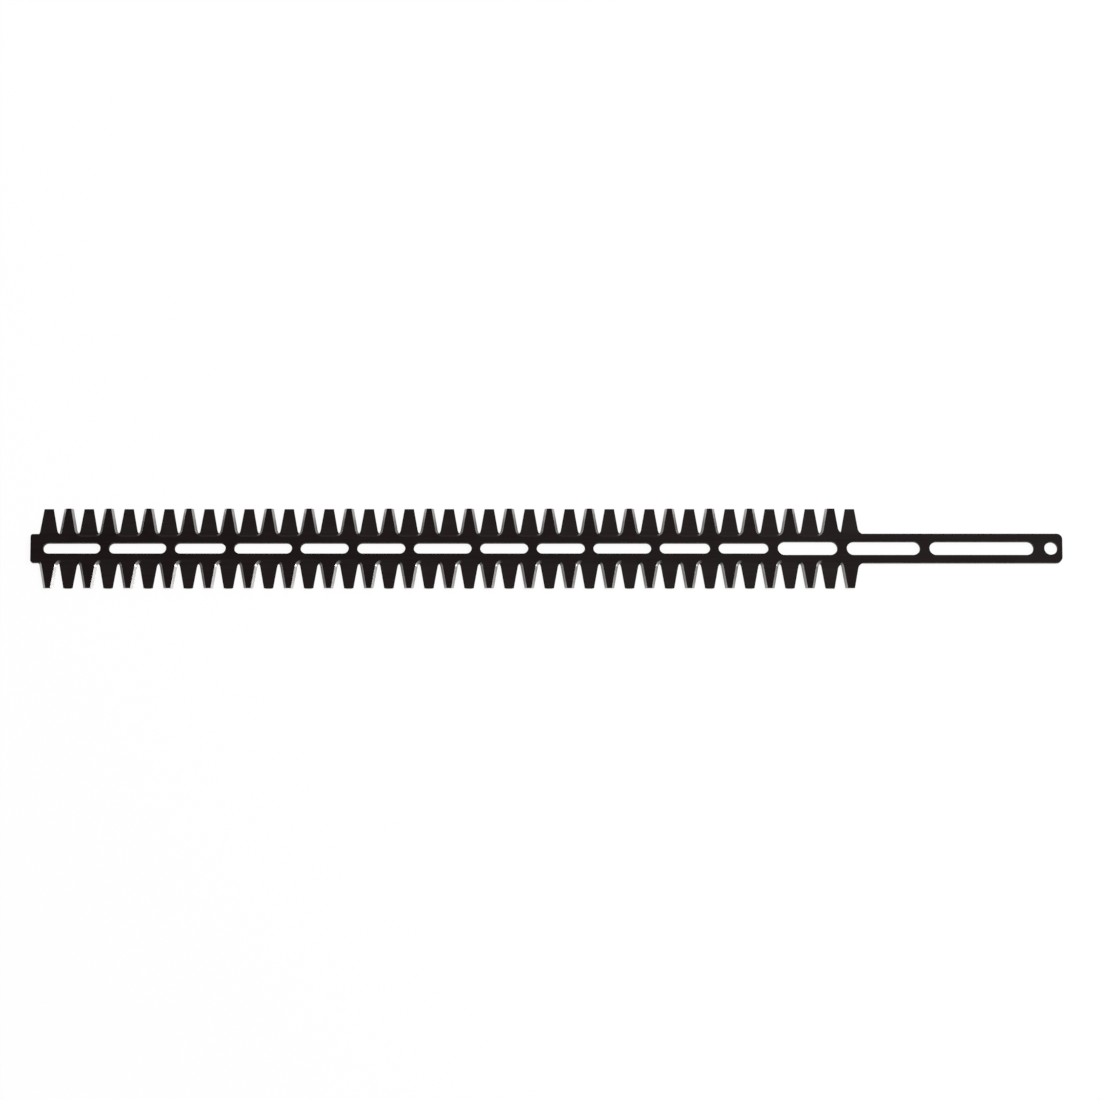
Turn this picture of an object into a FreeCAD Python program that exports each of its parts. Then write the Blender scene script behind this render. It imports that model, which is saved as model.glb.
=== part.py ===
import FreeCAD, Part
import math
import os

# A hedge trimmer's blade set: two identical toothed steel blades, laid flat face to flat face.
# The lower blade is the upper one turned over about its long axis, so the drive eyes and guide slots
# line up and the teeth of each blade stand in the gaps of the other.
# Each blade is a flat blank whose gullets are ground to a bevel on the outer face only.
# Millimetres. The origin is on the axis of the drive eye, on the underside of the lower blade.
# +X runs along the blades towards the drive end, +Y across them and +Z up.

# The plate
blade_thickness = 3.0
spine_width = 24.0  # from the gullet floor of one edge to that of the other
shank_width = 25.5  # the plain strip between the last teeth and the drive end
shank_length = 175.5  # from the drive eye to the last tooth
shank_fillet = 6.0  # between the last tooth and the shank
nose_width = 25.0
nose_length = 5.0  # from the foot of the first tooth to the nose end
nose_fillet = 2.5  # between the nose and the first tooth
nose_corner = 2.0
end_corner = 5.0  # at the drive end

# The teeth
tooth_pitch = 35.0
toothed_length = 700.0  # from the first tooth to the last along the longer row
tooth_height = 23.0  # from the gullet floor to the tip
tip_width = 8.2
root_width = 16.4  # at the gullet floor, before the root fillets
root_fillet = 5.0

# The ground bevel along the teeth and gullets, from the cutting edge at the flat face to the outer face
bevel_width = 2.0  # seen from above

# The drive eye
eye_diameter = 11.5
eye_to_end = 10.0

# The guide slots, counted from the drive eye towards the nose
slot_lengths = [91.0, 64.0, 52.0, 43.5, 44.0, 50.5, 42.0, 42.0, 50.5, 42.0, 42.0, 50.5, 44.5, 50.0, 50.0]
eye_to_slot = 15.0
wide_slots = 3  # the slots next to the drive eye are the wide ones
wide_slot_width = 12.0
wide_web = 8.2  # metal left after each wide slot
narrow_slot_width = 9.5
narrow_web = 7.45
nose_wall = 8.0  # least metal between the last slot and the nose end

# The two blades
blade_gap = 0.0  # the flat faces rest on each other

# How far a cutter runs past the metal that it cuts
overrun = 1.0

# Worked out from the sizes above
tip_line = spine_width / 2 + tooth_height
flank_slope = (root_width - tip_width) / (2 * tooth_height)
flank_stretch = math.hypot(1, flank_slope)
bevel_slope = bevel_width / blade_thickness
long_row_teeth = round(toothed_length / tooth_pitch) + 1
long_row_start = -shank_length - (long_row_teeth - 1) * tooth_pitch
short_row_start = long_row_start + tooth_pitch / 2
# Each row of teeth: its first tooth, its number of teeth and its side of the blade
rows = ((long_row_start, long_row_teeth, -1), (short_row_start, long_row_teeth - 1, 1))


def rounded_wire(corners, z):
    """A closed wire at height z through corners (x, y, radius), each rounded by a tangent arc."""
    points = [FreeCAD.Vector(x, y, z) for x, y, radius in corners]
    arcs = []
    for i, (x, y, radius) in enumerate(corners):
        point = points[i]
        back = (points[i - 1] - point).normalize()
        ahead = (points[(i + 1) % len(points)] - point).normalize()
        half_angle = back.getAngle(ahead) / 2
        reach = radius / math.tan(half_angle)
        inward = (back + ahead).normalize()
        middle = point + inward * (radius / math.sin(half_angle) - radius)
        arcs.append((point + back * reach, middle, point + ahead * reach))
    edges = []
    for i, (start, middle, end) in enumerate(arcs):
        if corners[i][2] > 0:
            edges.append(Part.Arc(start, middle, end).toShape())
        edges.append(Part.makeLine(end, arcs[(i + 1) % len(arcs)][0]))
    return Part.Wire(edges)


def half_tooth(height):
    """Half a tooth's width at this distance from the blade's centre line."""
    return tip_width / 2 + (tip_line - height) * flank_slope


nose_shoulder = long_row_start - half_tooth(nose_width / 2) - nose_fillet
nose_end = nose_shoulder - nose_length


def edge_corners(last_tooth, side):
    """The blank's corners along one edge: the nose, the line of the tips, the last tooth and the shank."""
    return [
        (nose_end, side * nose_width / 2, nose_corner),
        (nose_shoulder, side * nose_width / 2, 0),
        (nose_shoulder, side * tip_line, 0),
        (last_tooth + tip_width / 2, side * tip_line, 0),
        (last_tooth + half_tooth(shank_width / 2), side * shank_width / 2, shank_fillet),
        (eye_to_end, side * shank_width / 2, end_corner),
    ]


def blank():
    """The flat blank before its teeth are cut, square to its faces."""
    edges = [edge_corners(start + (count - 1) * tooth_pitch, side) for start, count, side in rows]
    corners = edges[0] + edges[1][::-1]
    return Part.Face(rounded_wire(corners, 0)).extrude(FreeCAD.Vector(0, 0, blade_thickness))


def mouth_corner(depth):
    """Where a cutter's flank ends outside the tips: its distance from the tooth and its height."""
    height = tip_line + overrun
    return half_tooth(height) - depth / flank_stretch, height - depth * flank_slope / flank_stretch


def root_corner(floor, depth):
    """Where a cutter's flank meets its floor, both moved depth into the metal."""
    height = floor - depth
    return half_tooth(height) - depth * flank_stretch, height


def gullet_profile(middle, side, depth, z):
    """The space between two teeth at height z, widened by depth into the metal all round."""
    mouth, mouth_height = mouth_corner(depth)
    root, floor = root_corner(spine_width / 2, depth)
    half_mouth = tooth_pitch / 2 - mouth
    half_floor = tooth_pitch / 2 - root
    fillet = root_fillet + depth
    corners = [
        (middle - half_mouth, side * mouth_height, 0),
        (middle - half_floor, side * floor, fillet),
        (middle + half_floor, side * floor, fillet),
        (middle + half_mouth, side * mouth_height, 0),
    ]
    return rounded_wire(corners, z)


def nose_profile(tooth, side, depth, z):
    """The space between the nose and its first tooth at height z, widened by depth into the metal."""
    mouth, mouth_height = mouth_corner(depth)
    root, floor = root_corner(nose_width / 2, depth)
    far = nose_end - overrun
    corners = [
        (far, side * mouth_height, 0),
        (far, side * floor, 0),
        (tooth - root, side * floor, nose_fillet + depth),
        (tooth - mouth, side * mouth_height, 0),
    ]
    return rounded_wire(corners, z)


def tapered_cutter(profile, place, side):
    """A cutter whose profile grows steadily from the flat face to the outer face, so it leaves a bevel."""
    wires = []
    for z in (-overrun, blade_thickness + overrun):
        wires.append(profile(place, side, z * bevel_slope, z))
    return Part.makeLoft(wires, True, True)


def beside_nose(side):
    """The room beside the nose: the cut at the first tooth stays in it, so the nose keeps square edges."""
    inner = nose_width / 2
    outer = tip_line + overrun
    low = min(side * inner, side * outer)
    corner = FreeCAD.Vector(nose_end - overrun, low, -overrun)
    return Part.makeBox(-nose_end, outer - inner, blade_thickness + 2 * overrun, corner)


def tooth_cutters():
    """All that is cut away along both rows to leave the teeth."""
    cutters = []
    for start, count, side in rows:
        cutters.append(tapered_cutter(nose_profile, start, side).common(beside_nose(side)))
        for i in range(count - 1):
            middle = start + (i + 0.5) * tooth_pitch
            cutters.append(tapered_cutter(gullet_profile, middle, side))
    return cutters


def through_cutter(wire):
    """A cutter that runs through the blade, square to its faces, from a wire just under it."""
    return Part.Face(wire).extrude(FreeCAD.Vector(0, 0, blade_thickness + 2 * overrun))


def slot_cutter(left, right, width):
    """A guide slot with round ends."""
    end = width / 2

    def at(x, y):
        return FreeCAD.Vector(x, y, -overrun)

    edges = [
        Part.makeLine(at(left + end, -end), at(right - end, -end)),
        Part.Arc(at(right - end, -end), at(right, 0), at(right - end, end)).toShape(),
        Part.makeLine(at(right - end, end), at(left + end, end)),
        Part.Arc(at(left + end, end), at(left, 0), at(left + end, -end)).toShape(),
    ]
    return through_cutter(Part.Wire(edges))


def slot_cutters():
    """The row of guide slots, laid out from the drive eye for as long as the nose leaves room."""
    cutters = []
    right = -eye_to_slot
    for i, length in enumerate(slot_lengths):
        wide = i < wide_slots
        left = right - length
        if left < nose_end + nose_wall:
            break
        cutters.append(slot_cutter(left, right, wide_slot_width if wide else narrow_slot_width))
        right = left - (wide_web if wide else narrow_web)
    return cutters


def eye_cutter():
    """The round hole that the drive takes hold of."""
    return Part.makeCylinder(
        eye_diameter / 2, blade_thickness + 2 * overrun, FreeCAD.Vector(0, 0, -overrun)
    )


def blade():
    """One blade, its flat face at z = 0 and its ground side up."""
    toothed = blank().cut(tooth_cutters())
    return toothed.cut(slot_cutters() + [eye_cutter()]).removeSplitter()


def turned_over(shape):
    """The same blade with its ground side down, its flat face still at z = 0."""
    return shape.rotated(FreeCAD.Vector(0, 0, 0), FreeCAD.Vector(1, 0, 0), 180)


def raised(shape, height):
    """The same shape, moved up."""
    return shape.translated(FreeCAD.Vector(0, 0, height))


one_blade = blade()
nodes = {
    "lower_blade": raised(turned_over(one_blade), blade_thickness),
    "upper_blade": raised(one_blade, blade_thickness + blade_gap),
}

os.makedirs("parts", exist_ok=True)
for name, shape in nodes.items():
    solid = shape.Solids[0]
    print(name, len(shape.Solids), "solid, valid", solid.isValid(), "volume", round(solid.Volume, 1))
    solid.exportStep("parts/" + name + ".step")
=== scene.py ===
import math

import bpy
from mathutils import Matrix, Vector


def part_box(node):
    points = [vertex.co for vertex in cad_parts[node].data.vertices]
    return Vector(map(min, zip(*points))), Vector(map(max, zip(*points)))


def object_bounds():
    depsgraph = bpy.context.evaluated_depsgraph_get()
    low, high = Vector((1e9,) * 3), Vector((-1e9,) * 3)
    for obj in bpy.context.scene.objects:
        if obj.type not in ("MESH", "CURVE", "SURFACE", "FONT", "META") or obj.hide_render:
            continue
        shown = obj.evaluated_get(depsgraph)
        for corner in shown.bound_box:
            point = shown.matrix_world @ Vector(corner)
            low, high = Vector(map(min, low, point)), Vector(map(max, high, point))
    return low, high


# A pair of hedge trimmer blades, laid face to face on a pale floor and seen from above.
# Metres, in the frame of the model: +X towards the drive end, +Y across the blades and +Z up.

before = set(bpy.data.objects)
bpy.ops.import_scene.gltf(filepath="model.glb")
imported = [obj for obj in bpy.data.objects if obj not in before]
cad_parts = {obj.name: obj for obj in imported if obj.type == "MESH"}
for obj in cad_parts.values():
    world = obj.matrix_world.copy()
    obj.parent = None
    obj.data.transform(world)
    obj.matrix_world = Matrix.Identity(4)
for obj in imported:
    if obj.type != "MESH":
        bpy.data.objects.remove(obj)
cad_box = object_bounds()
upper_low, upper_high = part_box("upper_blade")

# The photograph's frame: its width and the tooth pitch in pixels, that pitch in metres,
# and the point of the blades at the middle of the frame
frame_px = 1100
pitch_px = 40.06
tooth_pitch = 0.035
frame_middle = Vector((-0.4374, -0.0012, 0.003))

# The camera leans a little from the vertical, towards -Y. Its sensor is in millimetres.
camera_distance = 4.0
camera_lean = math.radians(9)
sensor_width = 36.0

# The bevels of the teeth slant, and every other face is level or upright, so the normals tell them apart.
# These limits are for the part of a normal along Z, without its sign.
bevel_width = 0.002
blade_thickness = upper_high.z - upper_low.z
bevel_level = bevel_width / math.hypot(bevel_width, blade_thickness)
bevel_margin = 0.2
upright_limit = 0.2

# The flanks of the teeth are bare metal, which fades out round the two corners of a gullet.
# It reaches further round the corner where the grinding wheel left the gullet.
# These limits are for the part of a normal along X, without its sign.
entry_limits = (0.58, 0.82)
exit_limits = (0.28, 0.8)

# The flat faces on which the blades slide lie at one height
slide_height = upper_low.z
slide_margin = 0.0005

# A hollow grind catches the light as a less steep bevel would: Z counts this much more in its normal
hollow_grind = 1.45

# Colours, as linear values
black = (0.0053, 0.0027, 0.0027)
grey_black = (0.0091, 0.0056, 0.0054)
# Painted sheen: the black made lighter where the blades slide on each other
slide_sheen_black = (0.0135, 0.0100, 0.0096)
# Painted sheen: the black made lighter on the bevels
bevel_sheen_black = (0.0170, 0.0135, 0.0125)
cut_grey = (0.026, 0.023, 0.021)
cut_brown = (0.040, 0.035, 0.031)
ground_steel = (0.42, 0.41, 0.40)
dull_steel = (0.30, 0.295, 0.29)
floor_white = (0.95, 0.95, 0.95)
white = (1.0, 1.0, 1.0)

# Patterns on the surfaces: the size of their features along X, Y and Z, and their detail
endless = 10.0
clouds_pattern = ((0.018, 0.018, 0.018), 5)
rolling_pattern = ((0.055, 0.0011, 0.0011), 3)
grain_pattern = ((0.00045, 0.00045, 0.00045), 2)
drag_pattern = ((0.0005, 0.0005, 0.02), 3)
flank_pattern = ((endless, 0.0005, endless), 2)
gullet_pattern = ((0.0005, endless, endless), 2)
patch_pattern = ((0.008, 0.008, 0.008), 3)

# The parts of the range of one noise, and of a sum of two, that a change of colour or roughness follows
noise_range = (0.3, 0.7)
finish_range = (0.75, 1.25)
steel_range = (0.7, 1.3)

# How rough, shiny and uneven the surfaces are
finish_roughness = (0.46, 0.60)
steel_roughness = (0.23, 0.26)
finish_specular = 0.045
relief_strength = 0.12
relief_height = 0.0001
ground_relief = 0.1

# The floor: half of its side, its distance under the blades, and the share of it that is white by itself
floor_half = 6.0
floor_clearance = 0.0002
floor_glow = 0.93

# The light of the studio, and its lamps: name, place, target, width and height, and power
ambient = 0.45
lamps = (
    ("key", (0.6, 0.5, 2.2), (-0.3, 0, 0), (1.0, 1.0), 44.0),
    ("side", (2.15, -0.53, 0.52), (-0.8, 0, 0), (0.3, 0.2), 11.0),
    ("back", (-0.45, 2.2, 0.7), (-0.45, 0, 0), (2.4, 1.0), 10.0),
)


def node_adder(tree):
    """A function that adds one node to this tree. Inputs are values, or outputs of other nodes."""

    def add(kind, inputs=(), **settings):
        node = tree.nodes.new(kind)
        for key, value in settings.items():
            setattr(node, key, value)
        for key, value in dict(inputs).items():
            if isinstance(value, bpy.types.NodeSocket):
                tree.links.new(value, node.inputs[key])
            else:
                node.inputs[key].default_value = value
        return node

    return add


def new_material(name):
    """An empty node material, and the function that adds nodes to it."""
    material = bpy.data.materials.new(name)
    material.use_nodes = True
    material.node_tree.nodes.clear()
    return material, node_adder(material.node_tree)


def rgba(colour):
    """The colour with full opacity, as shader sockets take it."""
    return (*colour, 1.0)


def math_node(add, operation, *values):
    """The result of one sum on these values."""
    return add("ShaderNodeMath", dict(enumerate(values)), operation=operation).outputs["Value"]


def between(add, value, limits, new_limits=(0.0, 1.0)):
    """The value, brought from one range to another and kept inside it."""
    names = ("From Min", "From Max", "To Min", "To Max")
    inputs = dict(zip(names, (*limits, *new_limits)))
    return add("ShaderNodeMapRange", {"Value": value, **inputs}).outputs["Result"]


def blend_colour(add, share, first, second):
    """A blend of two colours. Several sockets of a Mix node have the same name, so they go by number."""
    inputs = {0: share, 6: first, 7: second}
    return add("ShaderNodeMix", inputs, data_type="RGBA").outputs[2]


def blend_value(add, share, first, second):
    """A blend of two values, with the sockets by number too."""
    inputs = {0: share, 2: first, 3: second}
    return add("ShaderNodeMix", inputs, data_type="FLOAT").outputs[0]


def noise(add, size, detail):
    """Noise from 0 to 1 whose features have this size along X, Y and Z."""
    place = add("ShaderNodeTexCoord").outputs["Object"]
    stretch = tuple(1 / length for length in size)
    place = add("ShaderNodeMapping", {"Vector": place, "Scale": stretch}).outputs["Vector"]
    return add("ShaderNodeTexNoise", {"Vector": place, "Scale": 1.0, "Detail": detail}).outputs["Fac"]


def face_slant(add):
    """How much a face looks along X and along Z, as two values from 0 to 1, and its hand.

    The hand is the product of the three parts of the normal. It is above 0 round one corner of a gullet
    and below 0 round the other, and turning a blade over doesn't change it.
    """
    normal = add("ShaderNodeNewGeometry").outputs["True Normal"]
    settings = {"vector_type": "NORMAL", "convert_from": "WORLD", "convert_to": "OBJECT"}
    normal = add("ShaderNodeVectorTransform", {"Vector": normal}, **settings).outputs["Vector"]
    axes = add("ShaderNodeSeparateXYZ", {"Vector": normal}).outputs
    hand = math_node(add, "MULTIPLY", math_node(add, "MULTIPLY", axes["X"], axes["Y"]), axes["Z"])
    return math_node(add, "ABSOLUTE", axes["X"]), math_node(add, "ABSOLUTE", axes["Z"]), hand


def height(add):
    """The height of a point in the model."""
    place = add("ShaderNodeTexCoord").outputs["Object"]
    return add("ShaderNodeSeparateXYZ", {"Vector": place}).outputs["Z"]


def hollow_normal(add):
    """The normal, turned towards Z on slanting faces only, as on a hollow grind."""
    normal = add("ShaderNodeNewGeometry").outputs["Normal"]
    stretch = (1.0, 1.0, hollow_grind)
    turned = add("ShaderNodeVectorMath", {0: normal, 1: stretch}, operation="MULTIPLY").outputs["Vector"]
    return add("ShaderNodeVectorMath", {0: turned}, operation="NORMALIZE").outputs["Vector"]


def blackened_steel():
    """Matt black steel, with dull cut walls and bare ground metal on the flanks of the teeth."""
    material, add = new_material("blackened_steel")
    along, level, hand = face_slant(add)
    bevel = math_node(add, "COMPARE", level, bevel_level, bevel_margin)
    upright = math_node(add, "LESS_THAN", level, upright_limit)
    slides = math_node(add, "COMPARE", height(add), slide_height, slide_margin)
    at_exit = math_node(add, "LESS_THAN", hand, 0.0)
    bare = blend_value(add, at_exit, between(add, along, entry_limits), between(add, along, exit_limits))
    ground = math_node(add, "MULTIPLY", bevel, bare)

    # The black finish is cloudy, with faint lines along the rolled plate and a fine grain.
    # Painted sheen makes it lighter where the blades slide on each other, and on the bevels.
    clouds = noise(add, *clouds_pattern)
    rolling = noise(add, *rolling_pattern)
    grain = noise(add, *grain_pattern)
    shade = between(add, math_node(add, "ADD", clouds, rolling), finish_range)
    plain = blend_colour(add, shade, rgba(black), rgba(grey_black))
    slide_sheen = blend_colour(add, shade, rgba(grey_black), rgba(slide_sheen_black))
    finish = blend_colour(add, slides, plain, slide_sheen)
    finish = blend_colour(add, bevel, finish, rgba(bevel_sheen_black))

    # The cut walls have drag lines down the thickness
    drag = noise(add, *drag_pattern)
    cut = blend_colour(add, between(add, drag, noise_range), rgba(cut_grey), rgba(cut_brown))
    finish = blend_colour(add, upright, finish, cut)
    relief = blend_value(add, upright, grain, drag)

    # The grinding lines run down the slope of each bevel, and the grind is uneven from place to place
    lines = blend_value(add, along, noise(add, *gullet_pattern), noise(add, *flank_pattern))
    patches = noise(add, *patch_pattern)
    shine = between(add, math_node(add, "ADD", lines, patches), steel_range)
    steel = blend_colour(add, shine, rgba(dull_steel), rgba(ground_steel))
    relief = blend_value(add, ground, relief, math_node(add, "MULTIPLY", lines, ground_relief))

    dull = between(add, clouds, noise_range, finish_roughness)
    bright = between(add, lines, noise_range, steel_roughness)
    bump = add("ShaderNodeBump", {
        "Height": relief,
        "Strength": relief_strength,
        "Distance": relief_height,
        "Normal": hollow_normal(add),
    }).outputs["Normal"]
    surface = add("ShaderNodeBsdfPrincipled", {
        "Base Color": blend_colour(add, ground, finish, steel),
        "Metallic": ground,
        "Roughness": blend_value(add, ground, dull, bright),
        "Specular IOR Level": finish_specular,
        "Normal": bump,
    }).outputs["BSDF"]
    add("ShaderNodeOutputMaterial", {"Surface": surface})
    return material


def seen_directly(add):
    """1 for the rays of the camera, of reflections and of sight through glass, and 0 for light."""
    path = add("ShaderNodeLightPath").outputs
    seen = math_node(add, "MAXIMUM", path["Is Camera Ray"], path["Is Glossy Ray"])
    return math_node(add, "MAXIMUM", seen, path["Is Transmission Ray"])


def floor_material():
    """A white floor that keeps a faint shadow."""
    material, add = new_material("floor")
    share = math_node(add, "MULTIPLY", seen_directly(add), floor_glow)
    matt = add("ShaderNodeBsdfDiffuse", {"Color": rgba(floor_white)}).outputs["BSDF"]
    glow = add("ShaderNodeEmission", {"Color": rgba(white), "Strength": 1.0}).outputs["Emission"]
    surface = add("ShaderNodeMixShader", {0: share, 1: matt, 2: glow}).outputs["Shader"]
    add("ShaderNodeOutputMaterial", {"Surface": surface})
    return material


def dress_blades():
    """The finish on both blades."""
    finish = blackened_steel()
    for node in ("upper_blade", "lower_blade"):
        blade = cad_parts[node]
        blade.data.materials.clear()
        blade.data.materials.append(finish)


def lay_floor():
    """A wide plane just under the blades."""
    mesh = bpy.data.meshes.new("floor")
    corners = [(x * floor_half, y * floor_half, 0) for x, y in ((-1, -1), (1, -1), (1, 1), (-1, 1))]
    mesh.from_pydata(corners, [], [(0, 1, 2, 3)])
    mesh.materials.append(floor_material())
    floor = bpy.data.objects.new("floor", mesh)
    floor.location.z = cad_box[0].z - floor_clearance
    bpy.context.scene.collection.objects.link(floor)


def soft_light(name, place, target, size, power):
    """A lamp of this width and height that faces its target."""
    lamp = bpy.data.lights.new(name, "AREA")
    lamp.shape = "RECTANGLE"
    lamp.size, lamp.size_y = size
    lamp.energy = power
    holder = bpy.data.objects.new(name, lamp)
    holder.visible_camera = False
    holder.location = place
    holder.rotation_mode = "QUATERNION"
    holder.rotation_quaternion = (Vector(target) - Vector(place)).to_track_quat("-Z", "Y")
    bpy.context.scene.collection.objects.link(holder)


def light_studio():
    """A studio that is white to look at and dim as a light, with its lamps."""
    world = bpy.data.worlds.new("studio")
    world.use_nodes = True
    world.node_tree.nodes.clear()
    add = node_adder(world.node_tree)
    dim = add("ShaderNodeBackground", {"Color": rgba(white), "Strength": ambient}).outputs["Background"]
    bright = add("ShaderNodeBackground", {"Color": rgba(white), "Strength": 1.0}).outputs["Background"]
    surface = add("ShaderNodeMixShader", {0: seen_directly(add), 1: dim, 2: bright}).outputs["Shader"]
    add("ShaderNodeOutputWorld", {"Surface": surface})
    bpy.context.scene.world = world
    for lamp in lamps:
        soft_light(*lamp)


def place_camera():
    """Above the blades, with the frame of the photograph across them."""
    frame_width = frame_px * tooth_pitch / pitch_px
    camera = bpy.data.cameras.new("camera")
    camera.sensor_width = sensor_width
    camera.lens = sensor_width * camera_distance / frame_width
    holder = bpy.data.objects.new("camera", camera)
    away = Vector((0, -math.sin(camera_lean), math.cos(camera_lean)))
    holder.location = frame_middle + camera_distance * away
    holder.rotation_euler = (camera_lean, 0, 0)
    bpy.context.scene.collection.objects.link(holder)
    bpy.context.scene.camera = holder


dress_blades()
lay_floor()
light_studio()
place_camera()
bpy.context.scene.view_settings.view_transform = "Standard"
